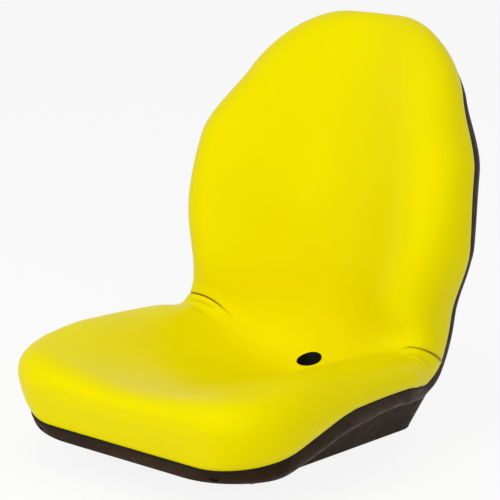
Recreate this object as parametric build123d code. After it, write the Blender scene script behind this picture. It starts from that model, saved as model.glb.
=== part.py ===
from build123d import *
import os
from bisect import bisect_right
from math import cos, pi, radians, sin, sqrt

# Side view of the sitting surface: a straight seat, a bend and a back that bows away at the top
NOSE_Y = -270.0
NOSE_Z = 162.0
SEAT_LENGTH = 370.0
SEAT_TILT = 4.5
BEND_RADIUS = 80.0
BACK_LENGTH = 444.0
BACK_RECLINE = 10.5
BACK_BOW = 66.0

# Half-widths of the cushion at its fullest, from the nose to the top of the back
NOSE_HALF_WIDTH = 247.0
SEAT_HALF_WIDTH = 255.0
HIP_HALF_WIDTH = 254.0
BEND_HALF_WIDTH = 240.0
WAIST_HALF_WIDTH = 232.0
LUMBAR_HALF_WIDTH = 261.0
CHEST_HALF_WIDTH = 252.0
SHOULDER_HALF_WIDTH = 195.0
TOP_HALF_WIDTH = 150.0

# Height of the side bolsters over the middle of the cushion
NOSE_BOLSTER = 6.0
SEAT_BOLSTER = 32.0
HIP_BOLSTER = 30.0
BEND_BOLSTER = 4.0
WAIST_BOLSTER = 46.0
BACK_BOLSTER = 54.0
TOP_BOLSTER = -4.0
BOLSTER_WIDTH = 75.0

# Depth of the dished middle under the centre line
SEAT_DISH = 24.0
HIP_DISH = 44.0
BEND_DISH = 62.0
WAIST_DISH = 42.0
BACK_DISH = 26.0

# Drop of the parting line, where cover and pan meet, below the middle of the cushion
NOSE_DROP = 89.0
CORNER_DROP = 66.0
SEAT_DROP = 20.0
HIP_DROP = 10.0
BEND_DROP = 52.0
WAIST_DROP = 55.0
BACK_DROP = 26.0
TOP_DROP = 60.0
EDGE_TUCK = 18.0
EDGE_FALL = 16.0

# Depth of the pan below the parting line, and the width of its rounded side corner
NOSE_DEPTH = 18.0
SEAT_DEPTH = 45.0
HIP_DEPTH = 38.0
WAIST_DEPTH = 50.0
BACK_DEPTH = 46.0
TOP_DEPTH = 14.0
NOSE_CORNER = 28.0
HIP_CORNER = 45.0
BACK_CORNER = 60.0

# Rounding of the two ends: rise of the cushion, and the corners seen square to the surface
NOSE_ROUND = 50.0
NOSE_CORNER_LENGTH = 115.0
NOSE_CORNER_WIDTH = 90.0
TOP_ROUND = 40.0
TOP_CORNER_LENGTH = 112.0
TOP_CORNER_WIDTH = 104.0

# Sheet thickness of the pan, and the strip along the parting line with its lips
PAN_THICKNESS = 2.0
STRIP_HEIGHT = 3.0
STRIP_PROUD = 1.0
STRIP_LIP = 1.0

# The well under the seat, which carries the mounting pads
WELL_FRONT_Y = -135.0
WELL_REAR_Y = 216.0
WELL_HALF = 152.0
WELL_SPREAD = 0.11
WELL_FLOOR_Z = 6.0
WELL_TOP_Z = 100.0
WELL_FRONT_FLARE = 75.0
WELL_REAR_FLARE = 22.0
WELL_SIDE_FLARE = 46.0
WELL_CORNER = 28.0
WELL_TOP_CORNER = 62.0
WELL_BEVEL = 7.0

# Stiffening beads pressed up into the floor of the well
BEAD_RADIUS = 7.0
BEAD_X = 55.0
BEAD_LENGTH = 190.0
BEAD_Y = -15.0
BEAD_TAPER = 30.0

# Mounting pads, their bolt holes and the weld nuts inside
BOLT_SPACING_X = 203.2
BOLT_SPACING_Y = 190.5
BOLT_HOLE = 8.0
PAD_DIAMETER = 38.0
NUT_ACROSS_FLATS = 13.0
NUT_HEIGHT = 6.5
NUT_POCKET_GAP = 2.0

# The drain through the cushion
DRAIN_Y = 182.0
DRAIN_DIAMETER = 40.0
DRAIN_WALL = 2.0
DRAIN_LIP = 3.0
DRAIN_LIP_HEIGHT = 3.0
DRAIN_RECESS = 6.0

# The plugged switch opening in the floor of the well
PLUG_Y = -15.0
PLUG_DIAMETER = 50.0
PLUG_FLANGE = 4.0
PLUG_FLANGE_HEIGHT = 2.0
PLUG_DEPTH = 9.0
PLUG_WALL = 2.0
PLUG_GAP = 0.2

# Small holes in the pan's walls
CLIP_HOLE = 4.0
CLIP_HOLE_Y = 108.0
CLIP_HOLE_Z = 84.0
CLIP_HOLE_PITCH = 8.0
SLOT_X = 165.0
SLOT_LENGTH = 12.0
SLOT_HEIGHT = 6.0
SLOT_REACH = 25.0
CUT_MARGIN = 2.0
WELL_REACH = 150.0

# Facets along the curves of a section
SIDE_FACETS = 3
BOLSTER_FACETS = 5
DISH_FACETS = 5
WALL_FACETS = 4
CORNER_FACETS = 4

tilt = radians(SEAT_TILT)
recline = radians(BACK_RECLINE)
BEND_LENGTH = BEND_RADIUS * (pi / 2 - recline + tilt)
BEND_START = SEAT_LENGTH
BACK_START = SEAT_LENGTH + BEND_LENGTH
PATH_LENGTH = BACK_START + BACK_LENGTH
BULGE_SHARE = 0.35


def along(share):
    """Distance along the path at a share of the straight seat."""
    return share * SEAT_LENGTH


def up_back(share):
    """Distance along the path at a share of the back."""
    return BACK_START + share * BACK_LENGTH


def blend(stops, values, s):
    """Smooth curve through the values at the stops, with no overshoot between them."""
    slopes = [(values[i + 1] - values[i]) / (stops[i + 1] - stops[i]) for i in range(len(stops) - 1)]
    bends = [slopes[0]]
    for before, after in zip(slopes, slopes[1:]):
        bends.append(2 * before * after / (before + after) if before * after > 0 else 0.0)
    bends.append(slopes[-1])
    i = min(max(bisect_right(stops, s) - 1, 0), len(stops) - 2)
    span = stops[i + 1] - stops[i]
    t = (s - stops[i]) / span
    start = (2 * t**3 - 3 * t**2 + 1) * values[i] + (t**3 - 2 * t**2 + t) * span * bends[i]
    end = (3 * t**2 - 2 * t**3) * values[i + 1] + (t**3 - t**2) * span * bends[i + 1]
    return start + end


def rounded(points, facets):
    """Points along the curve of four control points, without its last one."""
    (x0, z0), (x1, z1), (x2, z2), (x3, z3) = points
    out = []
    for i in range(facets):
        t = i / facets
        a, b, c, d = (1 - t) ** 3, 3 * t * (1 - t) ** 2, 3 * t**2 * (1 - t), t**3
        out.append((a * x0 + b * x1 + c * x2 + d * x3, a * z0 + b * z1 + c * z2 + d * z3))
    return out


def skin(loops):
    """Solid with flat facets from each closed loop of points to the next."""
    faces = [Face(Wire.make_polygon(loop)) for loop in (loops[0], loops[-1])]
    for near, far in zip(loops, loops[1:]):
        for i in range(len(near)):
            a, b, c, d = near[i - 1], near[i], far[i], far[i - 1]
            halves = ((a, b, c), (a, c, d)) if a[0] + b[0] > 0 else ((a, b, d), (b, c, d))
            faces += [Face(Wire.make_polygon(corners)) for corners in halves]
    return Solid(Shell(faces))


def quarter(t, least=0.0):
    """Quarter of an ellipse rising from 0 at t=0 to 1 at t=1."""
    t = min(max(t, 0.0), 1.0)
    return max(sqrt(1 - (1 - t) ** 2), least)


def centre_line(s):
    """Point (y, z) on the sitting surface's centre line and the angle of its slope."""
    seat_end_y = NOSE_Y + SEAT_LENGTH * cos(tilt)
    seat_end_z = NOSE_Z - SEAT_LENGTH * sin(tilt)
    centre_y = seat_end_y + BEND_RADIUS * sin(tilt)
    centre_z = seat_end_z + BEND_RADIUS * cos(tilt)
    if s < BEND_START:
        return NOSE_Y + s * cos(tilt), NOSE_Z - s * sin(tilt), -tilt
    if s < BACK_START:
        slope = (s - BEND_START) / BEND_RADIUS - tilt
        return centre_y + BEND_RADIUS * sin(slope), centre_z - BEND_RADIUS * cos(slope), slope
    run = s - BACK_START
    bow = BACK_BOW * (run / BACK_LENGTH) ** 2.5
    y = centre_y + BEND_RADIUS * cos(recline) + run * sin(recline) + bow * cos(recline)
    z = centre_z - BEND_RADIUS * sin(recline) + run * cos(recline) - bow * sin(recline)
    return y, z, pi / 2 - recline


class Station:
    """The cushion's section at one distance along the centre line."""

    def __init__(self, s):
        middle = BEND_START + BEND_LENGTH / 2
        self.s = s
        width = blend(
            [0, along(0.5), BEND_START, middle, BACK_START, up_back(0.25), up_back(0.5), up_back(0.75), PATH_LENGTH],
            [NOSE_HALF_WIDTH, SEAT_HALF_WIDTH, HIP_HALF_WIDTH, BEND_HALF_WIDTH, WAIST_HALF_WIDTH,
             LUMBAR_HALF_WIDTH, CHEST_HALF_WIDTH, SHOULDER_HALF_WIDTH, TOP_HALF_WIDTH], s)
        width -= NOSE_CORNER_WIDTH * (1 - quarter(s / NOSE_CORNER_LENGTH))
        width -= TOP_CORNER_WIDTH * (1 - quarter((PATH_LENGTH - s) / TOP_CORNER_LENGTH))
        self.half_width = width
        self.bolster = blend(
            [0, along(0.5), BEND_START, middle, BACK_START, up_back(0.5), PATH_LENGTH],
            [NOSE_BOLSTER, SEAT_BOLSTER, HIP_BOLSTER, BEND_BOLSTER, WAIST_BOLSTER, BACK_BOLSTER, TOP_BOLSTER], s)
        self.dish = blend(
            [0, along(0.5), BEND_START, middle, BACK_START, up_back(0.5), PATH_LENGTH],
            [0, SEAT_DISH, HIP_DISH, BEND_DISH, WAIST_DISH, BACK_DISH, 0], s)
        self.rim = -blend(
            [0, along(0.3), along(0.65), BEND_START, middle, BACK_START, up_back(0.5), PATH_LENGTH],
            [NOSE_DROP, CORNER_DROP, SEAT_DROP, HIP_DROP, BEND_DROP, WAIST_DROP, BACK_DROP, TOP_DROP], s)
        self.depth = blend(
            [0, along(0.5), BEND_START, BACK_START, up_back(0.5), PATH_LENGTH],
            [NOSE_DEPTH, SEAT_DEPTH, HIP_DEPTH, WAIST_DEPTH, BACK_DEPTH, TOP_DEPTH], s)
        self.corner = blend([0, BEND_START, BACK_START, PATH_LENGTH],
                            [NOSE_CORNER, HIP_CORNER, BACK_CORNER, BACK_CORNER], s)
        self.bulge = max(BULGE_SHARE * self.rim, self.rim + EDGE_FALL)
        self.rise = quarter(s / NOSE_ROUND, 0.04) * quarter((PATH_LENGTH - s) / TOP_ROUND, 0.04)
        self.tuck = min(EDGE_TUCK, 0.5 * (self.bulge - self.rim))
        self.rim_half = self.half_width - self.tuck
        self.corner = min(self.corner, 0.6 * self.rim_half)
        nose_lean = max(1 - s / NOSE_CORNER_LENGTH, 0.0)
        top_lean = max(1 - (PATH_LENGTH - s) / TOP_CORNER_LENGTH, 0.0)
        self.lean = EDGE_TUCK * (nose_lean - top_lean) / (self.bulge - self.rim)

    def lifted(self, level):
        """A height over the centre line, brought down to the bulge at the rounded ends."""
        return self.bulge + (level - self.bulge) * self.rise

    def place(self, x, level, inset=0.0):
        """Point in the section's plane, which leans back under the two ends."""
        s = inset + self.s * (PATH_LENGTH - 2 * inset) / PATH_LENGTH
        y, z, slope = centre_line(s)
        back = self.lean * (self.bulge - level)
        return (x, y - level * sin(slope) + back * cos(slope), z + level * cos(slope) + back * sin(slope))

    def loop(self, half, inset=0.0):
        """Closed outline in the section's plane from its right half, which ends on the middle."""
        whole = half + [(-x, level) for x, level in reversed(half) if x > 0]
        return [self.place(x, level, inset) for x, level in whole]

    def top_half(self):
        """Edge of the cover, bulge, crest of the bolster and dished middle, on the right."""
        crest = self.lifted(self.bolster)
        middle = self.lifted(-self.dish)
        bolster = min(BOLSTER_WIDTH, 0.45 * self.half_width)
        crest_x = self.half_width - bolster
        fall = self.bulge - self.rim
        side = [(self.rim_half, self.rim), (self.half_width - 0.45 * self.tuck, self.rim + 0.12 * fall),
                (self.half_width, self.bulge - 0.5 * fall), (self.half_width, self.bulge)]
        shoulder = [(self.half_width, self.bulge), (self.half_width, self.bulge + 0.55 * (crest - self.bulge)),
                    (crest_x + 0.6 * bolster, crest), (crest_x, crest)]
        dish = [(crest_x, crest), (0.70 * crest_x, crest), (0.72 * crest_x, middle), (0, middle)]
        return rounded(side, SIDE_FACETS) + rounded(shoulder, BOLSTER_FACETS) + rounded(dish, DISH_FACETS) + [(0, middle)]

    def tray_half(self, inset, top):
        """Floor and rounded side wall of the pan's tray, from the middle out to the right."""
        floor = self.rim - STRIP_HEIGHT - self.depth + inset
        wall_x = self.rim_half - inset
        floor_x = self.rim_half - self.corner
        wall = [(wall_x, top), (wall_x, floor + 0.25 * self.depth), (wall_x - 0.3 * self.corner, floor), (floor_x, floor)]
        return rounded(wall, WALL_FACETS) + [(floor_x, floor)]

    def under(self):
        """Inside of the pan's tray from the left edge over its floor to the right edge."""
        half = self.tray_half(PAN_THICKNESS, self.rim)
        return [self.place(x, level) for x, level in [(-x, level) for x, level in half] + half[::-1]]

    def cushion(self):
        """Outline of the cushion: cover outside, and foam inside the pan's tray."""
        return self.loop(self.top_half()) + self.under()

    def below(self):
        """Everything under the sitting surface, down past the well."""
        return self.loop([(self.rim_half, -WELL_REACH)] + self.top_half())

    def hollow(self):
        """Inside of the pan's tray, open past the strip."""
        half = self.rim_half - PAN_THICKNESS
        high = self.rim + STRIP_LIP + CUT_MARGIN
        return self.under() + [self.place(half, high), self.place(-half, high)]

    def tray(self):
        """Outside of the pan's tray, closed under the strip."""
        half = self.tray_half(0.0, self.rim - STRIP_HEIGHT)
        points = half + [(-x, level) for x, level in reversed(half)]
        return [self.place(x, level, -PAN_THICKNESS) for x, level in points]

    def strip(self):
        """Band over the joint of cover and pan that the strip is cut from."""
        half = self.rim_half + STRIP_PROUD
        high = self.rim + STRIP_LIP
        low = self.rim - STRIP_HEIGHT - STRIP_LIP
        corners = [(half, high), (-half, high), (-half, low), (half, low)]
        return [self.place(x, level, -PAN_THICKNESS - STRIP_PROUD) for x, level in corners]


def stations():
    """Sections close together round the two ends and evenly over the rest."""
    ends = (0.0, 0.03, 0.12, 0.28, 0.5, 0.75, 1.0)
    nose = [share * NOSE_CORNER_LENGTH for share in ends]
    seat = [along(0.45), along(0.65), along(0.82), BEND_START]
    bend = [BEND_START + share * BEND_LENGTH for share in (0.2, 0.4, 0.6, 0.8, 1.0)]
    back = [up_back(share) for share in (0.18, 0.36, 0.54)]
    top = [PATH_LENGTH - share * TOP_CORNER_LENGTH for share in reversed(ends)]
    return [Station(s) for s in nose + seat + bend + back + top]


def well(inset):
    """Tapered well under the seat, wider to the rear, with rounded corners and a bevelled lower edge."""
    def outline(front, rear, side, z, corner):
        front_y = WELL_FRONT_Y - front + inset
        rear_y = WELL_REAR_Y + rear - inset
        half = WELL_HALF + side - inset
        right = []
        for end_y, side_y in ((front_y, front_y + corner), (rear_y, rear_y - corner)):
            tip = (half + WELL_SPREAD * end_y, end_y)
            ends = [(tip[0] - corner, end_y), tip, tip, (half + WELL_SPREAD * side_y, side_y)]
            points = rounded(ends, CORNER_FACETS) + ends[3:]
            right += points if end_y == front_y else points[::-1]
        return [(x, y, z) for x, y in right + [(-x, y) for x, y in reversed(right)]]

    foot = outline(-WELL_BEVEL, -WELL_BEVEL, -WELL_BEVEL, WELL_FLOOR_Z + inset, WELL_CORNER - WELL_BEVEL)
    low = outline(0.0, 0.0, 0.0, WELL_FLOOR_Z + WELL_BEVEL, WELL_CORNER)
    high = outline(WELL_FRONT_FLARE, WELL_REAR_FLARE, WELL_SIDE_FLARE, WELL_TOP_Z, WELL_TOP_CORNER)
    return skin([foot, low, high])


def upright(diameter, low, high, x=0.0, y=0.0):
    """Vertical round bar between two heights."""
    return Pos(x, y, low) * extrude(Circle(diameter / 2), high - low)


def beads(radius):
    """Two tapered, round-ended bars pressed up into the floor of the well."""
    bar = SlotOverall(BEAD_LENGTH, 2 * radius, rotation=90)
    solid = extrude(Pos(0, 0, WELL_FLOOR_Z) * bar, radius, taper=BEAD_TAPER)
    return [Pos(side * BEAD_X, BEAD_Y, 0) * solid for side in (-1, 1)]


def clip_holes():
    """Pairs of small holes through both side walls of the pan."""
    bar = Cylinder(CLIP_HOLE / 2, 2 * (HIP_HALF_WIDTH + EDGE_TUCK), rotation=(0, 90, 0))
    shift = CLIP_HOLE_PITCH / sqrt(2) / 2
    return [Pos(0, CLIP_HOLE_Y + end * shift, CLIP_HOLE_Z + end * shift) * bar for end in (-1, 1)]


def front_slots():
    """Two level slots through the pan's front wall."""
    _, y, z = SECTIONS[0].place(0, SECTIONS[0].rim - STRIP_HEIGHT - NOSE_DEPTH / 2)
    slot = extrude(Plane.XZ * SlotOverall(SLOT_LENGTH, SLOT_HEIGHT), SLOT_REACH, both=True)
    return [Pos(side * SLOT_X, y, z) * slot for side in (-1, 1)]


BOLTS = [(side * BOLT_SPACING_X / 2, end * BOLT_SPACING_Y / 2) for side in (-1, 1) for end in (-1, 1)]
FLOOR_INSIDE = WELL_FLOOR_Z + PAN_THICKNESS
SECTIONS = stations()
cushion = skin([section.cushion() for section in SECTIONS])
tray = skin([section.tray() for section in SECTIONS])
strip_band = skin([section.strip() for section in SECTIONS])
hollow = skin([section.hollow() for section in SECTIONS])
below = skin([section.below() for section in SECTIONS])
well_inside = well(PAN_THICKNESS) - beads(BEAD_RADIUS + PAN_THICKNESS)
bore = upright(DRAIN_DIAMETER, 0, NOSE_Z, y=DRAIN_Y)


def make_seat_pan():
    """Drawn steel pan: tray and well in one sheet, with beads, dimpled pads and holes."""
    above = FLOOR_INSIDE + CUT_MARGIN
    outside = tray + well(0.0) + [upright(PAD_DIAMETER, 0, above, x, y) for x, y in BOLTS]
    dimple = PAD_DIAMETER - 2 * PAN_THICKNESS
    dimples = [upright(dimple, PAN_THICKNESS, above, x, y) for x, y in BOLTS]
    holes = [upright(BOLT_HOLE, -CUT_MARGIN, above, x, y) for x, y in BOLTS]
    holes += [upright(PLUG_DIAMETER, 0, above, y=PLUG_Y), upright(DRAIN_DIAMETER, 0, above, y=DRAIN_Y)]
    sheet = outside - cushion - hollow - well_inside - dimples
    return sheet - beads(BEAD_RADIUS) - holes - clip_holes() - front_slots()


def make_seat_cushion():
    """Vinyl-skinned foam moulding, with its drain bore and pockets over the nuts and the plug."""
    nut_pocket = NUT_ACROSS_FLATS / cos(pi / 6) + 2 * NUT_POCKET_GAP
    nut_top = PAN_THICKNESS + NUT_HEIGHT + NUT_POCKET_GAP
    pockets = [upright(nut_pocket, WELL_FLOOR_Z, nut_top, x, y) for x, y in BOLTS]
    pockets.append(upright(PLUG_DIAMETER + 2 * PLUG_FLANGE, WELL_FLOOR_Z, FLOOR_INSIDE + PLUG_DEPTH, y=PLUG_Y))
    return cushion + (well_inside & below) - bore - pockets


def make_drain_tube():
    """Tube from just under the sitting surface to a lip under the floor of the well."""
    foot = WELL_FLOOR_Z - DRAIN_LIP_HEIGHT
    lowest = min(section.place(0, -section.dish)[2] for section in SECTIONS)
    tube = upright(DRAIN_DIAMETER, foot, lowest - DRAIN_RECESS, y=DRAIN_Y)
    tube += upright(DRAIN_DIAMETER + 2 * DRAIN_LIP, foot, WELL_FLOOR_Z, y=DRAIN_Y)
    return tube - upright(DRAIN_DIAMETER - 2 * DRAIN_WALL, 0, NOSE_Z, y=DRAIN_Y)


def make_mount_nuts():
    """Four hexagon weld nuts, one on the inside of each pad."""
    outline = RegularPolygon(NUT_ACROSS_FLATS / 2, 6, major_radius=False) - Circle(BOLT_HOLE / 2)
    nut = extrude(outline, NUT_HEIGHT)
    return Compound(children=[Pos(x, y, PAN_THICKNESS) * nut for x, y in BOLTS])


def make_switch_plug():
    """Cap with a flange under the floor and a collar through its opening."""
    outer = PLUG_DIAMETER - 2 * PLUG_GAP
    collar_top = FLOOR_INSIDE + PLUG_DEPTH / 2
    plug = upright(PLUG_DIAMETER + 2 * PLUG_FLANGE, WELL_FLOOR_Z - PLUG_FLANGE_HEIGHT, WELL_FLOOR_Z, y=PLUG_Y)
    plug += upright(outer, WELL_FLOOR_Z, collar_top, y=PLUG_Y)
    return plug - upright(outer - 2 * PLUG_WALL, WELL_FLOOR_Z, collar_top, y=PLUG_Y)


PIECES = {
    "seat_cushion": make_seat_cushion(),
    "seat_pan": make_seat_pan(),
    "edge_strip": strip_band - cushion - hollow - tray,
    "drain_tube": make_drain_tube(),
    "mount_nuts": make_mount_nuts(),
    "switch_plug": make_switch_plug(),
}
os.makedirs("parts", exist_ok=True)
for name, piece in PIECES.items():
    export_step(piece, f"parts/{name}.step")
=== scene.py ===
from math import cos, pi, radians, sin

import bmesh
import bpy
import numpy as np
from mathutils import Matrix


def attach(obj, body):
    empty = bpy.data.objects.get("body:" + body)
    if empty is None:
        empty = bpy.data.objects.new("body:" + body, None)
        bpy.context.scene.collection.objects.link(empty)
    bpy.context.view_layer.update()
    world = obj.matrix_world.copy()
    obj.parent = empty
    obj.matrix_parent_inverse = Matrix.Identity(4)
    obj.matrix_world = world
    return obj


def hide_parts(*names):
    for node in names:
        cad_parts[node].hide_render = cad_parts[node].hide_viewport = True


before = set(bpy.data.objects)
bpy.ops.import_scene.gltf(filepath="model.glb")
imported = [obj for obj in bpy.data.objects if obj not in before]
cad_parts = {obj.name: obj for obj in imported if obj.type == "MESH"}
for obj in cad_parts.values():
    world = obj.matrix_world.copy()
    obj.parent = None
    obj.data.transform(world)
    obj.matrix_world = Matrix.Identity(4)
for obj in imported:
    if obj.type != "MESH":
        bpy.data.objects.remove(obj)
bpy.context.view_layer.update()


# The pan is one deep-drawn steel sheet, dipped in a black-brown coating. A shallow tray follows the
# cushion from its nose to the top of the back, a tapered well drops from the tray under the seat,
# and four dimpled pads in the floor of the well take the bolts.
MM = 0.001
NOSE_Y, NOSE_Z = -270.0, 162.0
SEAT_LENGTH, SEAT_TILT = 370.0, radians(4.5)
BEND_RADIUS = 80.0
BACK_LENGTH, BACK_RECLINE, BACK_BOW = 444.0, radians(10.5), 66.0
BEND_LENGTH = BEND_RADIUS * (pi / 2 - BACK_RECLINE + SEAT_TILT)
BACK_START = SEAT_LENGTH + BEND_LENGTH
PATH_LENGTH = BACK_START + BACK_LENGTH
PAN_THICKNESS, STRIP_HEIGHT = 2.0, 3.0


def through(stops, values, s):
    """Cubic curve through the values at the stops, its slope there the harmonic mean of both sides."""
    stops, values = np.asarray(stops, float), np.asarray(values, float)
    steps = np.diff(values) / np.diff(stops)
    before, after = steps[:-1], steps[1:]
    same = before * after > 0
    inner = np.where(same, 2 * before * after / np.where(same, before + after, 1), 0)
    slopes = np.concatenate([steps[:1], inner, steps[-1:]])
    i = np.clip(np.searchsorted(stops, s, side="right") - 1, 0, len(stops) - 2)
    span = stops[i + 1] - stops[i]
    t = (s - stops[i]) / span
    start = (2 * t**3 - 3 * t**2 + 1) * values[i] + (t**3 - 2 * t**2 + t) * span * slopes[i]
    return start + (3 * t**2 - 2 * t**3) * values[i + 1] + (t**3 - t**2) * span * slopes[i + 1]


def quarter(t):
    """Quarter of an ellipse from 0 to 1: the square root of 1 less (1 - t) squared."""
    return np.sqrt(1 - (1 - np.clip(t, 0, 1)) ** 2)


def centre_line(s):
    """Straight seat, then an arc, then the back, which bows rearwards with the 2.5th power of its share."""
    tilt, lean = SEAT_TILT, BACK_RECLINE
    middle_y = NOSE_Y + SEAT_LENGTH * cos(tilt) + BEND_RADIUS * sin(tilt)
    middle_z = NOSE_Z - SEAT_LENGTH * sin(tilt) + BEND_RADIUS * cos(tilt)
    slope = np.clip((s - SEAT_LENGTH) / BEND_RADIUS - tilt, -tilt, pi / 2 - lean)
    on_seat = np.minimum(s - SEAT_LENGTH, 0)
    on_back = np.maximum(s - BACK_START, 0)
    bow = BACK_BOW * (on_back / BACK_LENGTH) ** 2.5
    y = middle_y + BEND_RADIUS * np.sin(slope) + on_seat * cos(tilt) + on_back * sin(lean) + bow * cos(lean)
    z = middle_z - BEND_RADIUS * np.cos(slope) - on_seat * sin(tilt) + on_back * cos(lean) - bow * sin(lean)
    return y, z, slope


# The plan has a large quarter ellipse at each corner, at the nose and at the top of the back.
NOSE_ROUND, NOSE_NARROWING = 115.0, 90.0
TOP_ROUND, TOP_NARROWING = 112.0, 104.0


def distances(end, seat, bend, back):
    """Distances along the centre line: cosine steps round both ends, even steps over seat, bend and back."""
    turn = 1 - np.cos(np.linspace(0, pi / 2, end))
    return np.concatenate([NOSE_ROUND * turn, np.linspace(NOSE_ROUND, SEAT_LENGTH, seat)[1:],
                           np.linspace(SEAT_LENGTH, BACK_START, bend)[1:],
                           np.linspace(BACK_START, PATH_LENGTH - TOP_ROUND, back)[1:],
                           PATH_LENGTH - TOP_ROUND * turn[-2::-1]])


# Half-widths, drops of the parting line below the centre line, and depths and corners of the tray, each
# given at its own stops along the centre line.
SEAT_STOPS = [0, 0.5 * SEAT_LENGTH, SEAT_LENGTH, SEAT_LENGTH + BEND_LENGTH / 2, BACK_START]
BACK_STOPS = [BACK_START + share * BACK_LENGTH for share in (0.25, 0.5, 0.75, 1)]
HALF_WIDTHS = [247, 255, 254, 240, 232, 258, 250, 196, 150]
RIM_STOPS = [share * SEAT_LENGTH for share in (0, 0.3, 0.65, 1)]
RIM_STOPS += [SEAT_LENGTH + share * BEND_LENGTH for share in (0.22, 0.45, 0.62, 1)] + BACK_STOPS[1::2]
RIM_DROPS = [89, 66, 22, 17, 27, 55, 66, 69, 27, 60]
TRAY_STOPS = SEAT_STOPS[:3] + SEAT_STOPS[4:] + BACK_STOPS[1::2]
TRAY_DEPTHS = [18, 43, 31, 41, 45, 14]
CORNER_STOPS, TRAY_CORNERS = [0, SEAT_LENGTH, BACK_START], [28, 45, 60]
EDGE_TUCK, EDGE_FALL = 18.0, 16.0


class Sections:
    """Sections of the seat square to its centre line, one row for each distance s along it.

    full is the half-width, less a quarter ellipse at each end. rim is the height of the parting line. bulge
    is the widest line, EDGE_FALL over the rim or at 0.35 of its drop. edge is the half-width at the rim,
    tucked in by half of that fall, at most EDGE_TUCK. lean tips the ends by the same tuck.
    """

    def __init__(self, s):
        from_nose, from_top = s, PATH_LENGTH - s
        self.s = s
        self.full = through(SEAT_STOPS + BACK_STOPS, HALF_WIDTHS, s)
        self.full = (self.full - NOSE_NARROWING * (1 - quarter(from_nose / NOSE_ROUND))
                     - TOP_NARROWING * (1 - quarter(from_top / TOP_ROUND)))
        self.rim = -through(RIM_STOPS, RIM_DROPS, s)
        self.bulge = np.maximum(0.35 * self.rim, self.rim + EDGE_FALL)
        fall = self.bulge - self.rim
        self.tuck = np.minimum(EDGE_TUCK, 0.5 * fall)
        self.edge = self.full - self.tuck
        ends = np.maximum(1 - from_nose / NOSE_ROUND, 0) - np.maximum(1 - from_top / TOP_ROUND, 0)
        self.lean = EDGE_TUCK * ends / fall
        self.depth = through(TRAY_STOPS, TRAY_DEPTHS, s)
        corner = through(CORNER_STOPS, TRAY_CORNERS, np.minimum(s, BACK_START))
        self.corner = np.minimum(corner, 0.6 * self.edge)

    def place(self, x, level, past=0.0):
        """Points x to the side and level over the centre line, which is stretched past both its ends."""
        y, z, slope = (v[:, None] for v in centre_line(self.s * (1 + 2 * past / PATH_LENGTH) - past))
        back = self.lean[:, None] * (self.bulge[:, None] - level)
        return np.stack([x, y - level * np.sin(slope) + back * np.cos(slope),
                         z + level * np.cos(slope) + back * np.sin(slope)], -1)


def curve(points, t):
    """Cubic Bezier curves: four control points a row, weighted by the Bernstein terms of t."""
    weights = np.stack([(1 - t) ** 3, 3 * t * (1 - t) ** 2, 3 * t**2 * (1 - t), t**3])
    return [sum(p[axis][:, None] * w for p, w in zip(points, weights)) for axis in (0, 1)]


def tray_half(rows, inset, top):
    """Right half of the tray: its wall, its rounded corner and its floor, as one Bezier curve a row."""
    floor = rows.rim - STRIP_HEIGHT - rows.depth + inset
    wall_x, floor_x = rows.edge - inset, rows.edge - rows.corner
    return curve([(wall_x, top), (wall_x, floor + 0.25 * rows.depth), (wall_x - 0.3 * rows.corner, floor),
                  (floor_x, floor)], np.linspace(0, 1, 13))


def mirrored(x, other):
    """Right halves, taken as they are and then mirrored in reverse, as whole rows."""
    return np.hstack([x, -x[:, ::-1]]), np.hstack([other, other[:, ::-1]])


def mesh_piece(name, points, faces):
    """Mesh object in metres from points in millimetres, with smooth faces."""
    mesh = bpy.data.meshes.new(name)
    mesh.from_pydata((np.asarray(points) * MM).tolist(), [], faces)
    mesh.validate()
    mesh.shade_smooth()
    piece = bpy.data.objects.new(name, mesh)
    bpy.context.collection.objects.link(piece)
    return piece


def turned_out(piece):
    """Turns all faces of a closed mesh outwards."""
    shell = bmesh.new()
    shell.from_mesh(piece.data)
    bmesh.ops.recalc_face_normals(shell, faces=shell.faces)
    shell.to_mesh(piece.data)
    shell.free()
    return piece


def grid_faces(rows, columns, first=0):
    """Quads between the rows of a grid of points, whose last column joins the first."""
    r, c = np.meshgrid(np.arange(rows - 1), np.arange(columns), indexing="ij")
    n = (c + 1) % columns
    quads = np.stack([r * columns + c, (r + 1) * columns + c, (r + 1) * columns + n, r * columns + n], -1)
    return quads.reshape(-1, 4) + first


def closed(name, loops):
    """Walls between the rows of closed loops and one face over each end, all turned outwards."""
    rows, columns = loops.shape[:2]
    faces = grid_faces(rows, columns).tolist()
    faces += [list(range(columns)), list(range((rows - 1) * columns, rows * columns))]
    return turned_out(mesh_piece(name, loops.reshape(-1, 3), faces))


def rounded_bar(reach, radii, heights, x=0.0, y=0.0):
    """Upright bar of round-ended rings: a circle of each radius, its halves reach apart along y."""
    angle = np.linspace(0, 2 * pi, 65)[:-1]
    radii, heights = np.array(radii, float)[:, None], np.array(heights, float)[:, None]
    along = y + radii * np.sin(angle) + reach / 2 * np.sign(np.sin(angle))
    return closed("bar", np.stack([x + radii * np.cos(angle), along, heights + 0 * angle], -1))


# The well: how far its walls flare to the front, the rear and the sides, and its corners at foot and top.
WELL_FRONT, WELL_REAR, WELL_HALF, WELL_SPREAD = -135.0, 216.0, 152.0, 0.11
WELL_FLOOR, WELL_TOP, WELL_ROUND = 6.0, 100.0, 7.0
WELL_FLARES, FOOT_CORNER, TOP_CORNER = (75.0, 20.0, 46.0), 28.0, 85.0


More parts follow.
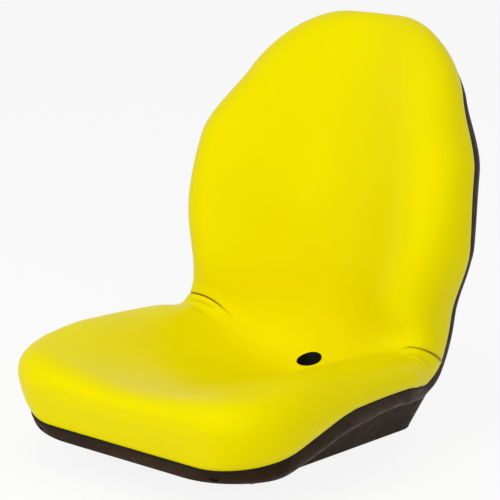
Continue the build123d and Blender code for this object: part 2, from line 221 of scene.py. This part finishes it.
def well(inset):
    """Rings of the well: a quarter round along its foot, then straight flared walls to its top.

    Each ring has a Bezier curve round each corner, and its half-width grows by WELL_SPREAD towards the rear.
    """
    turn = np.linspace(0, pi / 2, 7)
    under = WELL_ROUND * (1 - np.sin(turn))
    z = np.append(WELL_FLOOR + WELL_ROUND - (WELL_ROUND - inset) * np.cos(turn), WELL_TOP)
    front, rear, side = (np.append(-under, flare) - inset for flare in WELL_FLARES)
    corner = np.append(FOOT_CORNER - under, TOP_CORNER)
    x, y = [], []
    for end, way in ((WELL_FRONT - front, 1), (WELL_REAR + rear, -1)):
        tip, turned = WELL_HALF + side + WELL_SPREAD * end, end + way * corner
        wall = (WELL_HALF + side + WELL_SPREAD * turned, turned)
        bend = curve([(tip - corner, end), (tip, end), (tip, end), wall], np.linspace(0, 1, 13))
        x.append(bend[0][:, ::way])
        y.append(bend[1][:, ::way])
    x, y = mirrored(np.hstack(x), np.hstack(y))
    return closed("well", np.stack([x, y, z[:, None] + 0 * x], -1))


def applied(piece):
    """Gives a piece the mesh that its modifiers make, and clears them."""
    graph = bpy.context.evaluated_depsgraph_get()
    made = bpy.data.meshes.new_from_object(piece.evaluated_get(graph), preserve_all_data_layers=True,
                                           depsgraph=graph)
    made.name = piece.name
    piece.modifiers.clear()
    piece.data = made


def worked(piece, operation, tools):
    """Adds the tools to a piece or cuts them from it, and removes them."""
    group = bpy.data.collections.new("tools")
    for tool in tools:
        group.objects.link(tool)
    step = piece.modifiers.new("step", "BOOLEAN")
    step.operation, step.solver, step.material_mode = operation, "EXACT", "TRANSFER"
    step.operand_type, step.collection = "COLLECTION", group
    applied(piece)
    for tool in tools:
        bpy.data.objects.remove(tool)
    bpy.data.collections.remove(group)


# The pads are pressed down at the bolts, with rounded feet, and dimpled from above.
BOLTS = [(x, y) for x in (-101.6, 101.6) for y in (-95.25, 95.25)]
PAD_RADII, PAD_HEIGHTS = (15.5, 17.6, 18.7, 19, 19), (0, 0.4, 1.5, 3.2, 10)
DIMPLE_RADII, DIMPLE_HEIGHTS = (15, 16.5, 17, 17), (2, 2.5, 3.5, 11)
CLEAR_ABOVE = 8.0
rows = Sections(distances(19, 24, 30, 36))
half = tray_half(rows, 0.0, rows.rim - STRIP_HEIGHT)
pan = closed("drawn_pan", rows.place(*mirrored(*half), past=PAN_THICKNESS))
worked(pan, "UNION", [well(0.0)] + [rounded_bar(0, PAD_RADII, PAD_HEIGHTS, x, y) for x, y in BOLTS])
half = tray_half(rows, PAN_THICKNESS, rows.rim)
wall, high = (rows.edge - PAN_THICKNESS)[:, None], (rows.rim + CLEAR_ABOVE)[:, None]
hollow = closed("hollow", rows.place(*mirrored(np.hstack([wall, half[0]]), np.hstack([high, half[1]]))))
dimples = [rounded_bar(0, DIMPLE_RADII, DIMPLE_HEIGHTS, x, y) for x, y in BOLTS]

# Two long beads stiffen the floor of the well: reach, radii and heights, inside and from below.
BEAD_X, BEAD_Y = 55.0, -15.0
BEAD_INSIDE = (172, (9.6, 9, 5, 3.2), (6, 6.6, 13, 15))
BEAD_BELOW = (174, (8, 7, 3, 1.4), (5, 6, 12, 13))
well_inside = well(PAN_THICKNESS)
worked(well_inside, "DIFFERENCE", [rounded_bar(*BEAD_INSIDE, x, BEAD_Y) for x in (-BEAD_X, BEAD_X)])
beads = [rounded_bar(*BEAD_BELOW, x, BEAD_Y) for x in (-BEAD_X, BEAD_X)]

# Holes in the floor for the bolts, the plug and the drain; a pair of clip holes through each side; and
# two short slots in the front wall of the tray.
BOLT_HOLE, FLOOR_CUT = 8.0, (-5, 12)
PLUG_Y, PLUG_DIAMETER = -15.0, 50.0
DRAIN_Y, DRAIN_DIAMETER = 182.0, 40.0
CLIP_Y, CLIP_Z, CLIP_SHIFT, CLIP_RADIUS, CLIP_REACH = 108.0, 84.0, 2.83, 2.0, 272.0
SLOT_X, SLOT_DROP, SLOT_RADIUS, SLOT_REACH = 165.0, 9.0, 3.0, 25.0
holes = [rounded_bar(0, [BOLT_HOLE / 2] * 2, FLOOR_CUT, x, y) for x, y in BOLTS]
holes.append(rounded_bar(0, [PLUG_DIAMETER / 2] * 2, FLOOR_CUT, 0, PLUG_Y))
holes.append(rounded_bar(0, [DRAIN_DIAMETER / 2] * 2, FLOOR_CUT, 0, DRAIN_Y))
angle = np.linspace(0, 2 * pi, 33)[:-1]
ring = CLIP_RADIUS * np.stack([0 * angle, np.cos(angle), np.sin(angle)], -1)
for shift in (-CLIP_SHIFT, CLIP_SHIFT):
    centre = np.array([0, CLIP_Y + shift, CLIP_Z + shift])
    holes.append(closed("clip_hole", np.stack([ring + centre + np.array([x, 0, 0])
                                               for x in (-CLIP_REACH, CLIP_REACH)])))
slot = rows.place(np.zeros((len(rows.s), 1)), (rows.rim - STRIP_HEIGHT - SLOT_DROP)[:, None])[0, 0]
oval = SLOT_RADIUS * np.stack([np.cos(angle) + np.sign(np.cos(angle)), 0 * angle, np.sin(angle)], -1)
for side in (-SLOT_X, SLOT_X):
    holes.append(closed("slot", np.stack([oval + slot + np.array([side, y, 0])
                                          for y in (-SLOT_REACH, SLOT_REACH)])))
worked(pan, "DIFFERENCE", [hollow, well_inside] + dimples + holes + beads)
PRESSED_EDGE = radians(32)
pan.data.set_sharp_from_angle(angle=PRESSED_EDGE)


def linear(code):
    """sRGB hex to linear light: up to 0.04045 divided by 12.92, above it a power of 2.4."""
    parts = [int(code[i:i + 2], 16) / 255 for i in (1, 3, 5)]
    return [c / 12.92 if c <= 0.04045 else ((c + 0.055) / 1.055) ** 2.4 for c in parts] + [1.0]


def add(tree, kind, settings=(), values=(), links=()):
    """Adds a node, sets its properties and its inputs, and links inputs to (node, output)."""
    node = tree.nodes.new(kind)
    for name, value in dict(settings).items():
        setattr(node, name, value)
    for name, value in dict(values).items():
        node.inputs[name].default_value = value
    for name, (source, output) in dict(links).items():
        tree.links.new(source.outputs[output], node.inputs[name])
    return node


def new_material(name):
    """Empty node material, and its tree."""
    material = bpy.data.materials.new(name)
    material.use_nodes = True
    material.node_tree.nodes.clear()
    return material, material.node_tree


# A dipped coating runs a little uneven before it hardens: faint orange peel about 3 mm across, and
# cloudy patches of thicker, browner film, with duller scuffs.
PEEL_MM, PATCH_MM, SCUFF_MM = 3.0, 70.0, 14.0
coating, tree = new_material("dipped_black_brown_coating")
place = add(tree, "ShaderNodeTexCoord")
patch = add(tree, "ShaderNodeTexNoise",
            values={"Scale": 1 / (PATCH_MM * MM), "Detail": 5.0, "Roughness": 0.6},
            links={"Vector": (place, "Object")})
film = add(tree, "ShaderNodeMapRange", values={"From Min": 0.35, "From Max": 0.65},
           links={"Value": (patch, "Fac")})
tone = add(tree, "ShaderNodeMix", {"data_type": "RGBA"},
           {"A": linear("#24160b"), "B": linear("#372617")}, {"Factor": (film, "Result")})
scuff = add(tree, "ShaderNodeTexNoise", values={"Scale": 1 / (SCUFF_MM * MM), "Detail": 4.0},
            links={"Vector": (place, "Object")})
dull = add(tree, "ShaderNodeMapRange",
           values={"From Min": 0.3, "From Max": 0.7, "To Min": 0.42, "To Max": 0.62},
           links={"Value": (scuff, "Fac")})
peel = add(tree, "ShaderNodeTexNoise", values={"Scale": 1 / (PEEL_MM * MM), "Detail": 2.0},
           links={"Vector": (place, "Object")})
bump = add(tree, "ShaderNodeBump", values={"Strength": 0.2, "Distance": 0.3 * MM},
           links={"Height": (peel, "Fac")})
paint = add(tree, "ShaderNodeBsdfPrincipled",
            values={"IOR": 1.5, "Specular IOR Level": 0.09, "Specular Tint": linear("#f2d8bc")},
            links={"Base Color": (tone, "Result"), "Roughness": (dull, "Result"),
                   "Normal": (bump, "Normal")})
add(tree, "ShaderNodeOutputMaterial", links={"Surface": (paint, "BSDF")})
pan.data.materials.clear()
pan.data.materials.append(coating)
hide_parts("seat_pan")
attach(pan, "root")


# Four zinc-plated weld nuts are welded to the inside of the dimpled pads, over their holes, and take
# the bolts from below. They are cold-headed hexagons with their corners broken.
MERGED, BROKEN_EDGE, SMOOTH_ANGLE = 0.01 * MM, 0.4 * MM, radians(35)


def finished(node, name):
    """Copy of a solid, merged and with a narrow bevel on each edge that turns more than the smooth angle."""
    piece = bpy.data.objects.new(name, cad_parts[node].data.copy())
    bpy.context.collection.objects.link(piece)
    piece.modifiers.new("corners", "WELD").merge_threshold = MERGED
    broken = piece.modifiers.new("edges", "BEVEL")
    broken.width, broken.segments = BROKEN_EDGE, 2
    broken.limit_method, broken.angle_limit = "ANGLE", SMOOTH_ANGLE
    applied(piece)
    piece.data.shade_smooth()
    piece.data.set_sharp_from_angle(angle=SMOOTH_ANGLE)
    piece.data.materials.clear()
    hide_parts(node)
    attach(piece, "root")
    return piece


# Zinc plating is a bright, faintly blotched metal, duller where the film is thicker.
FILM_MM = 5.0
zinc, tree = new_material("zinc_plated_steel")
place = add(tree, "ShaderNodeTexCoord")
film = add(tree, "ShaderNodeTexNoise", values={"Scale": 1 / (FILM_MM * MM), "Detail": 3.0},
           links={"Vector": (place, "Object")})
dull = add(tree, "ShaderNodeMapRange", values={"To Min": 0.25, "To Max": 0.4},
           links={"Value": (film, "Fac")})
bright = add(tree, "ShaderNodeBsdfPrincipled", values={"Base Color": linear("#c4c2ba"), "Metallic": 1.0},
             links={"Roughness": (dull, "Result")})
add(tree, "ShaderNodeOutputMaterial", links={"Surface": (bright, "BSDF")})
nuts = finished("mount_nuts", "weld_nuts")
nuts.data.materials.append(zinc)


# The plug that shuts the switch opening and the tube that carries rain from the lowest point of the
# cushion to below the pan are moulded in black plastic and pressed in from below. The moulding has the
# fine frost of a spark-eroded mould, drawn at 0.8 mm, which is coarser than real, to show.
FROST_MM = 0.8
plastic, tree = new_material("moulded_black_plastic")
place = add(tree, "ShaderNodeTexCoord")
frost = add(tree, "ShaderNodeTexNoise", values={"Scale": 1 / (FROST_MM * MM), "Detail": 2.0},
            links={"Vector": (place, "Object")})
bump = add(tree, "ShaderNodeBump", values={"Strength": 0.1, "Distance": 0.1 * MM},
           links={"Height": (frost, "Fac")})
dull = add(tree, "ShaderNodeMapRange", values={"To Min": 0.45, "To Max": 0.6},
           links={"Value": (frost, "Fac")})
black = add(tree, "ShaderNodeBsdfPrincipled",
            values={"Base Color": linear("#0c0a08"), "IOR": 1.46, "Specular IOR Level": 0.3},
            links={"Roughness": (dull, "Result"), "Normal": (bump, "Normal")})
add(tree, "ShaderNodeOutputMaterial", links={"Surface": (black, "BSDF")})
for node, name in (("switch_plug", "opening_plug"), ("drain_tube", "rain_drain")):
    piece = finished(node, name)
    piece.data.materials.append(plastic)


# A thin extruded strip of black rubber closes the joint between skin and pan all the way round. It is
# pushed over the pan's edge before the cushion goes in, and meets itself at the top of the back. Its
# section is a rounded oblong, carried along the parting line: a circle drawn to the power of 0.6.
STRIP_POINTS, STRIP_POWER = 16, 0.6
STRIP_HALF_WIDTH, STRIP_OUT, STRIP_HALF_DEPTH, STRIP_DOWN = 1.7, -0.7, 2.3, 1.4
rows = Sections(distances(25, 40, 50, 50))
right = rows.place(rows.edge[:, None], rows.rim[:, None])[:, 0]
below = rows.place(rows.edge[:, None], rows.rim[:, None] - 1)[:, 0] - right
flip = np.array([-1, 1, 1])
path, below = np.concatenate([right, right[::-1] * flip]), np.concatenate([below, below[::-1] * flip])
run = np.roll(path, -1, 0) - np.roll(path, 1, 0)
run /= np.linalg.norm(run, axis=1, keepdims=True)
outward = np.cross(below, run)
outward /= np.linalg.norm(outward, axis=1, keepdims=True)
turn = np.linspace(0, 2 * pi, STRIP_POINTS + 1)[:-1]
across = STRIP_OUT + STRIP_HALF_WIDTH * np.sign(np.cos(turn)) * np.abs(np.cos(turn)) ** STRIP_POWER
down = STRIP_DOWN + STRIP_HALF_DEPTH * np.sign(np.sin(turn)) * np.abs(np.sin(turn)) ** STRIP_POWER
sideways = PAN_THICKNESS * np.abs(run[:, :1])
loops = path[:, None] + outward[:, None] * (across + sideways)[..., None] + below[:, None] * down[:, None]
first = np.arange(STRIP_POINTS)
last = first + (len(loops) - 1) * STRIP_POINTS
join = np.stack([last, first, np.roll(first, -1), np.roll(last, -1)], -1)
faces = np.concatenate([grid_faces(len(loops), STRIP_POINTS), join]).tolist()
strip = turned_out(mesh_piece("joint_strip", loops.reshape(-1, 3), faces))

# Extruded rubber is matt, with a pale bloom in patches of about 12 mm.
BLOOM_MM = 12.0
rubber, tree = new_material("extruded_black_rubber")
place = add(tree, "ShaderNodeTexCoord")
bloom = add(tree, "ShaderNodeTexNoise", values={"Scale": 1 / (BLOOM_MM * MM), "Detail": 3.0},
            links={"Vector": (place, "Object")})
tone = add(tree, "ShaderNodeMix", {"data_type": "RGBA"},
           {"A": linear("#0d0906"), "B": linear("#1a140e")}, {"Factor": (bloom, "Fac")})
matt = add(tree, "ShaderNodeBsdfPrincipled",
           values={"Roughness": 0.75, "IOR": 1.5, "Specular IOR Level": 0.2},
           links={"Base Color": (tone, "Result")})
add(tree, "ShaderNodeOutputMaterial", links={"Surface": (matt, "BSDF")})
strip.data.materials.append(rubber)
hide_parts("edge_strip")
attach(strip, "root")


# The seat cushion is one moulding: a yellow vinyl skin drawn into a mould by vacuum, with polyurethane
# foam poured in behind it. It covers the seat, both bolsters and the back without a seam. Where seat
# and back meet, the skin gathers into a sharp fold on each side.
HEIGHT_STOPS = SEAT_STOPS + BACK_STOPS[1::2]
BOLSTER_HEIGHTS = [6, 32, 30, 4, 46, 54, -4]
DISH_DEPTHS = [0, 22, 48, 82, 50, 16, 0]
BOLSTER_STOPS, BOLSTER_WIDTHS = [0, SEAT_LENGTH, BACK_START, PATH_LENGTH], [44, 44, 52, 52]
NOSE_ROLL, TOP_ROLL, LEAST_RISE = 50.0, 40.0, 0.04


def top_half(rows):
    """Right half of each section: edge of the skin, bulge, crest of the bolster, dished middle.

    Three Bezier curves a row join them, upright at the bulge and level at the crest and in the middle. The
    heights sink to the bulge at both ends, by a quarter ellipse over the nose and over the top.
    """
    fall = rows.bulge - rows.rim
    rise = np.maximum(quarter(rows.s / NOSE_ROLL), LEAST_RISE)
    rise = rise * np.maximum(quarter((PATH_LENGTH - rows.s) / TOP_ROLL), LEAST_RISE)
    crest = rows.bulge + (through(HEIGHT_STOPS, BOLSTER_HEIGHTS, rows.s) - rows.bulge) * rise
    middle = rows.bulge + (-through(HEIGHT_STOPS, DISH_DEPTHS, rows.s) - rows.bulge) * rise
    width = np.minimum(through(BOLSTER_STOPS, BOLSTER_WIDTHS, rows.s), 0.45 * rows.full)
    crest_x = rows.full - width
    side = [(rows.edge, rows.rim), (rows.full - 0.45 * rows.tuck, rows.rim + 0.12 * fall),
            (rows.full, rows.bulge - 0.5 * fall), (rows.full, rows.bulge)]
    shoulder = [side[3], (rows.full, rows.bulge + 0.55 * (crest - rows.bulge)),
                (crest_x + 0.6 * width, crest), (crest_x, crest)]
    dish = [shoulder[3], (0.72 * crest_x, crest), (0.45 * crest_x, middle), (0 * crest_x, middle)]
    parts = [curve(side, np.linspace(0, 1, 9)[:-1]), curve(shoulder, np.linspace(0, 1, 33)[:-1]),
             curve(dish, np.linspace(0, 1, 49))]
    return [np.hstack([part[axis] for part in parts]) for axis in (0, 1)]


steps = distances(41, 62, 160, 86)
rows = Sections(steps)
half_x, half_level = top_half(rows)
across = np.hstack([half_x, -half_x[:, -2::-1]])
level = np.hstack([half_level, half_level[:, -2::-1]])
plain = rows.place(across, level)


def crease(s, girth, places, line, depths, width, roll):
    """Fold along a line over the skin: a narrow valley with a soft roll before it and a lower one behind.

    The line gives s at each place, measured over the skin from the middle; the valley is a Gaussian of the
    distance square to the line, the rolls are wider ones beside it, and the depths fade all along the line.
    It returns the shift of the skin and the weight of the shade painted into the valley.
    """
    at = np.clip(girth, places[0], places[-1])
    lean = through(places, line, np.clip(at + 1, places[0], places[-1])) - through(places, line, at)
    far = (s[:, None] - through(places, line, at)) / np.sqrt(1 + lean**2)
    depth = np.where(girth > places[0], through(places, depths, at), 0)
    valley = np.exp(-((far / width) ** 2))
    before = np.exp(-(((far + 2.6 * roll) / (2 * roll)) ** 2))
    behind = np.exp(-(((far - 2.6 * roll) / (2 * roll)) ** 2))
    # The second value is the weight of the shade painted into the valley of the fold.
    return depth * (0.45 * (before + 0.5 * behind) - valley), np.clip(depth / 4, 0, 1) * valley


# The folds, three on each side: places over the skin, distances along the centre line, depths, width of
# the valley and width of the rolls.
FOLDS = (
    (-1, (145, 165, 182, 201, 220, 238, 270, 320), (427, 431, 436.5, 441, 443.5, 445, 447, 449),
     (0, 1.4, 3.4, 4.2, 4.2, 3.6, 2.4, 1.4), 1.5, 4.0),
    (-1, (178, 190, 214, 250), (423, 424, 425, 426), (0, 0.9, 0.7, 0), 3.0, 3.0),
    (-1, (182, 192, 206, 230), (396, 397, 399, 402), (0, 0.7, 0.6, 0), 3.0, 3.0),
    (1, (222, 230, 238, 249, 260, 268, 294, 320), (414, 426, 433.5, 437, 440.5, 442, 445.5, 447),
     (0, 1.6, 2.6, 3.0, 3.8, 4.4, 3.4, 2.0), 1.5, 5.0),
    (1, (238, 250, 262, 280), (414, 419, 423, 425), (0, 0.7, 0.6, 0), 3.5, 3.0),
    (1, (240, 250, 260, 274), (400, 404, 408, 411), (0, 0.5, 0.4, 0), 3.5, 3.0))
girth = np.cumsum(np.hypot(np.gradient(across, axis=1), np.gradient(level, axis=1)), 1)
girth = girth[:, [across.shape[1] // 2]] - girth
# Beside the shift, each fold gives the weight of the shade painted into its valley; the largest is kept.
painted_shade_marks = np.zeros_like(level)
for side, places, line, depths, width, roll in FOLDS:
    shift, painted_shade = crease(steps, side * girth, places, line, depths, width, roll)
    level = level + shift
    painted_shade_marks = np.maximum(painted_shade_marks, painted_shade)


def eased(t):
    """Smooth step between 0 and 1: t squared times three less two t."""
    return t * t * (3 - 2 * t)


# Skin drawn by vacuum bridges the hollow in one sweep: the rows are averaged along the path with a bell
# 26 mm wide about the bend, and left as they are at the edges, where the pan holds them.
BELL_MM = 26.0
SWEEP_START, SWEEP_RISE, SWEEP_END, SWEEP_FADE = 250.0, 80.0, 700.0, 120.0
HELD_COLUMNS, EASED_COLUMNS = 6, 20
far = (steps[:, None] - steps) / BELL_MM
bell = np.exp(-0.5 * far**2) * np.gradient(steps)
swept = np.einsum("ij,jkl->ikl", bell / bell.sum(1, keepdims=True), plain) - plain
inner = np.clip((np.arange(across.shape[1]) - HELD_COLUMNS) / EASED_COLUMNS, 0, 1)
inner = np.minimum(inner, inner[::-1])
near = np.clip((steps - SWEEP_START) / SWEEP_RISE, 0, 1) * np.clip((SWEEP_END - steps) / SWEEP_FADE, 0, 1)
swept *= eased(near)[:, None, None] * eased(inner)[:, None]
top = rows.place(across, level) + swept

# The mould presses a flat seat for the drain at the lowest point.
FLATTENING, SEAT_REACH = 0.55, 0.75 * DRAIN_DIAMETER
far = np.hypot(top[..., 0], top[..., 1] - DRAIN_Y)
lowest = top[..., 2].ravel()[far.argmin()]
top[..., 2] += FLATTENING * (lowest - top[..., 2]) * np.exp(-((far / SEAT_REACH) ** 4))

# The underside lies in the tray with a millimetre to spare.
SPARE = 1
tray = tray_half(rows, PAN_THICKNESS + SPARE, rows.rim)
under = rows.place(*mirrored(*tray))[:, ::-1]
loops = np.concatenate([top, under], 1)
count, points = loops.shape[1], loops.reshape(-1, 3)
faces = grid_faces(len(steps), count).tolist()


def end_cap(loop, outward, crown):
    """Rings from a closed loop towards the line through its middle, swelling outwards from a level start."""
    share = np.linspace(0, 0.97, 15)[:, None, None]
    spine = loop.mean(0) + (loop - loop.mean(0)) * np.array([0.86, 0, 0])
    return loop * (1 - share) + spine * share + crown * eased(share) * np.array(outward)


NOSE_CROWN, TOP_CROWN = 1.5, 1.0
for row, outward, crown in ((0, (0, -cos(SEAT_TILT), sin(SEAT_TILT)), NOSE_CROWN),
                            (len(steps) - 1, (0, sin(BACK_RECLINE), cos(BACK_RECLINE)), TOP_CROWN)):
    rings = end_cap(loops[row], outward, crown)
    cap = grid_faces(len(rings), count, len(points)).tolist()
    cap.append(list(range(len(points) + (len(rings) - 1) * count, len(points) + len(rings) * count)))
    faces += [face[::-1] for face in cap] if row == 0 else cap
    points = np.concatenate([points, rings.reshape(-1, 3)])
cushion = mesh_piece("cushion_skin", points, faces)
# The weights go onto the points as an attribute that carries the shade painted into the folds.
painted_fold_shade = cushion.data.attributes.new("painted_fold_shade", "FLOAT", "POINT")
painted_shade_marks = np.pad(painted_shade_marks, ((0, 0), (0, under.shape[1]))).ravel()
painted_fold_shade.data.foreach_set("value", np.pad(painted_shade_marks, (0, len(points) - len(painted_shade_marks))).astype(np.float32))

# Vacuum-formed vinyl has a satin skin with a very fine grain, drawn at 2.2 mm, which is coarser than
# real, to show. It reads as one soft, saturated colour: its gloss takes the colour of the pigment. Shade
# is painted into the folds: the skin is darkened to brown along their valleys.
GRAIN_MM, CLOUD_MM = 2.2, 160.0
vinyl, tree = new_material("vacuum_formed_vinyl")
place = add(tree, "ShaderNodeTexCoord")
cloud = add(tree, "ShaderNodeTexNoise", values={"Scale": 1 / (CLOUD_MM * MM), "Detail": 2.0},
            links={"Vector": (place, "Object")})
tone = add(tree, "ShaderNodeMix", {"data_type": "RGBA"},
           {"A": linear("#f6e800"), "B": linear("#efdf00")}, {"Factor": (cloud, "Fac")})
# Painted shade: the skin is mixed towards dark brown along the valleys of the folds.
fold_shade_weight = add(tree, "ShaderNodeAttribute", {"attribute_name": "painted_fold_shade"})
shade = add(tree, "ShaderNodeMix", {"data_type": "RGBA"}, {"B": linear("#6e5600")},
            {"Factor": (fold_shade_weight, "Fac"), "A": (tone, "Result")})
grain = add(tree, "ShaderNodeTexNoise", values={"Scale": 1 / (GRAIN_MM * MM), "Detail": 3.0},
            links={"Vector": (place, "Object")})
bump = add(tree, "ShaderNodeBump", values={"Strength": 0.05, "Distance": 0.3 * MM},
           links={"Height": (grain, "Fac")})
skin = add(tree, "ShaderNodeBsdfPrincipled",
           values={"Roughness": 0.42, "IOR": 1.5, "Specular IOR Level": 0.09,
                   "Specular Tint": linear("#fff200")},
           links={"Base Color": (shade, "Result"), "Normal": (bump, "Normal")})
add(tree, "ShaderNodeOutputMaterial", links={"Surface": (skin, "BSDF")})

# The foam behind the skin is charcoal, with open cells about a millimetre across.
CELL_MM = 1.2
foam, tree = new_material("poured_charcoal_foam")
place = add(tree, "ShaderNodeTexCoord")
cells = add(tree, "ShaderNodeTexVoronoi", values={"Scale": 1 / (CELL_MM * MM)},
            links={"Vector": (place, "Object")})
bump = add(tree, "ShaderNodeBump", values={"Strength": 0.6, "Distance": 0.5 * MM},
           links={"Height": (cells, "Distance")})
open_cells = add(tree, "ShaderNodeBsdfPrincipled",
                 values={"Base Color": linear("#1d1916"), "Roughness": 0.9},
                 links={"Normal": (bump, "Normal")})
add(tree, "ShaderNodeOutputMaterial", links={"Surface": (open_cells, "BSDF")})

# The faces in the tray are foam and the rest is skin. The drain is bored through both, with plastic
# walls, where its tube lines it.
cushion.data.materials.append(vinyl)
cushion.data.materials.append(foam)
column = np.arange(len(cushion.data.polygons)) % count
on_grid = np.arange(len(column)) < (len(steps) - 1) * count
is_foam = on_grid & (column >= top.shape[1] - 1)
cushion.data.polygons.foreach_set("material_index", is_foam.astype(np.int32))
BORE = (30, 160)
core = rounded_bar(0, [DRAIN_DIAMETER / 2] * 2, BORE, 0, DRAIN_Y)
core.data.materials.append(plastic)
cushion.modifiers.new("corners", "WELD").merge_threshold = MERGED
applied(cushion)
worked(cushion, "DIFFERENCE", [core])
SOFT_EDGE = radians(45)
cushion.data.set_sharp_from_angle(angle=SOFT_EDGE)
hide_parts("seat_cushion")
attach(cushion, "root")


# The seat stands on a sheet of plain white paper in a white room, under three large soft lamps. Paper
# and room show the camera an even white, and the paper keeps some of the seat's shadow.
FLOOR_SIZE, FLOOR_WHITE, ROOM_LIGHT = 12.0, 0.88, 0.42
corners = np.array([(x, y, 0) for x in (-1, 1) for y in (-1, 1)])
floor = mesh_piece("floor", corners * FLOOR_SIZE / 2 / MM, [[0, 2, 3, 1]])


def seen(tree):
    """Node that is 1 for rays from the camera, from a mirror or through glass: the largest of the three."""
    ray = add(tree, "ShaderNodeLightPath")
    either = add(tree, "ShaderNodeMath", {"operation": "MAXIMUM"},
                 links={0: (ray, "Is Camera Ray"), 1: (ray, "Is Glossy Ray")})
    return add(tree, "ShaderNodeMath", {"operation": "MAXIMUM"},
               links={0: (either, "Value"), 1: (ray, "Is Transmission Ray")})


paper, tree = new_material("white_paper")
share = add(tree, "ShaderNodeMath", {"operation": "MULTIPLY"}, {1: FLOOR_WHITE},
            {0: (seen(tree), "Value")})
sheet = add(tree, "ShaderNodeBsdfDiffuse", values={"Color": linear("#f6f6f4")})
glow = add(tree, "ShaderNodeEmission", values={"Color": (1, 1, 1, 1), "Strength": 1.0})
mix = add(tree, "ShaderNodeMixShader",
          links={"Fac": (share, "Value"), 1: (sheet, "BSDF"), 2: (glow, "Emission")})
add(tree, "ShaderNodeOutputMaterial", links={"Surface": (mix, "Shader")})
floor.data.materials.append(paper)

world = bpy.data.worlds.new("white_room")
bpy.context.scene.world = world
world.use_nodes = True
tree = world.node_tree
tree.nodes.clear()
room = add(tree, "ShaderNodeBackground", values={"Color": (1, 1, 1, 1), "Strength": ROOM_LIGHT})
white = add(tree, "ShaderNodeBackground", values={"Color": (1, 1, 1, 1), "Strength": 1.0})
mix = add(tree, "ShaderNodeMixShader",
          links={"Fac": (seen(tree), "Value"), 1: (room, "Background"), 2: (white, "Background")})
add(tree, "ShaderNodeOutputWorld", links={"Surface": (mix, "Shader")})


def around(azimuth, elevation, distance, height):
    """Place and turn of what looks at that height over the origin, from that side and distance."""
    place = (distance * sin(azimuth) * cos(elevation), -distance * cos(azimuth) * cos(elevation),
             height + distance * sin(elevation))
    return place, (pi / 2 - elevation, 0, azimuth)


# Each lamp is a square: where it stands in degrees, its distance and size in metres, its power in watts.
LAMP_AIM = 0.3
for name, azimuth, elevation, distance, size, power in (
        ("front", -12, 26, 2.6, 1.8, 27), ("side", 66, 28, 2.8, 1.8, 17), ("top", 20, 80, 2.4, 1.6, 8)):
    lamp = bpy.data.objects.new(name, bpy.data.lights.new(name, "AREA"))
    lamp.data.size, lamp.data.energy = size, power
    bpy.context.collection.objects.link(lamp)
    lamp.location, lamp.rotation_euler = around(radians(azimuth), radians(elevation), distance, LAMP_AIM)


# The camera stands in front of the seat and to its right in the picture, a little above it. Its focal
# length is in half widths of the frame.
AZIMUTH, ELEVATION, DISTANCE, CAMERA_AIM = radians(39.0), radians(15.6), 2.95, 0.25
SENSOR, FOCAL = 36.0, 7.93
camera = bpy.data.objects.new("camera", bpy.data.cameras.new("camera"))
bpy.context.collection.objects.link(camera)
camera.location, camera.rotation_euler = around(AZIMUTH, ELEVATION, DISTANCE, CAMERA_AIM)
camera.data.sensor_width = SENSOR
camera.data.lens = SENSOR / 2 * FOCAL
camera.data.shift_x, camera.data.shift_y = 0.027, 0.073
camera.data.dof.use_dof = False
bpy.context.scene.camera = camera
bpy.context.scene.view_settings.view_transform = "Standard"
